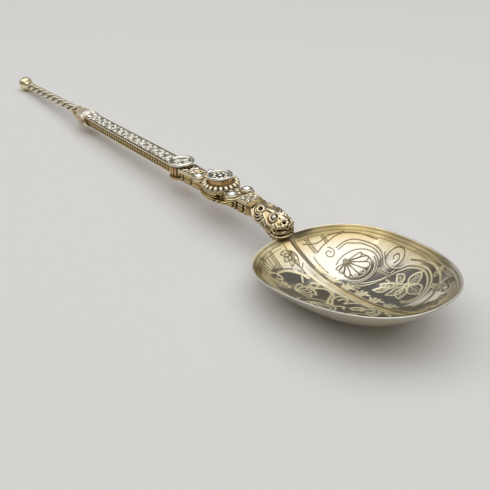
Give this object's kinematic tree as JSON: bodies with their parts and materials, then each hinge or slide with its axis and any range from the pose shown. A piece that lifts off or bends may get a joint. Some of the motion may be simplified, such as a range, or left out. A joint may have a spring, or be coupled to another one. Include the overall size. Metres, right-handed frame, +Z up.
{
  "type": "anointing spoon",
  "caption": "Ceremonial gilt-silver spoon with an engraved two-lobed bowl held in a beast's mouth, a jewelled stem, a relief shaft, a twisted rod and a ball knop.",
  "frame": {"origin": "on the table, under the middle of the spoon's length and width", "axes": "+X along the spoon from the knop to the tip of the bowl, +Y to the left seen from the knop, +Z up from the table, with the hollow of the bowl facing up"},
  "size_m": [0.2688, 0.0502, 0.0173],
  "materials": {
    "gilt_bright": "polished gilt silver, worn pale on the edges",
    "gilt_relief": "gilt silver relief, bright on the high points and dark in the recesses",
    "gilt_deep": "deeper gold, dark between the ribs and dots",
    "silver_bead": "polished bright bead"
  },
  "bodies": {
    "root": {"bowl": "gilt_bright", "beast_head": "gilt_bright", "boss_drum": "gilt_bright", "upper_drum": "gilt_bright", "shaft_bar": "gilt_bright", "twisted_rod": "gilt_bright", "ball_knop": "gilt_bright", "neck_collar": "gilt_relief", "stem_base": "gilt_relief", "boss_plate": "gilt_relief", "lower_panel": "gilt_relief", "shoulder_panel": "gilt_relief", "pearl_collet_1": "gilt_relief", "pearl_collet_2": "gilt_relief", "pearl_collet_3": "gilt_relief", "pearl_collet_4": "gilt_relief", "petal_ring": "gilt_relief", "boss_medallion": "gilt_relief", "upper_medallion": "gilt_relief", "shaft_panel": "gilt_relief", "mask_cap": "gilt_relief", "stem_core": "gilt_deep", "shaft_band_left": "gilt_deep", "shaft_band_right": "gilt_deep", "eye_left": "silver_bead", "eye_right": "silver_bead", "pearl_1": "silver_bead", "pearl_2": "silver_bead", "pearl_3": "silver_bead", "pearl_4": "silver_bead", "mask_eye_left": "silver_bead", "mask_eye_right": "silver_bead"}
  },
  "joints": []
}
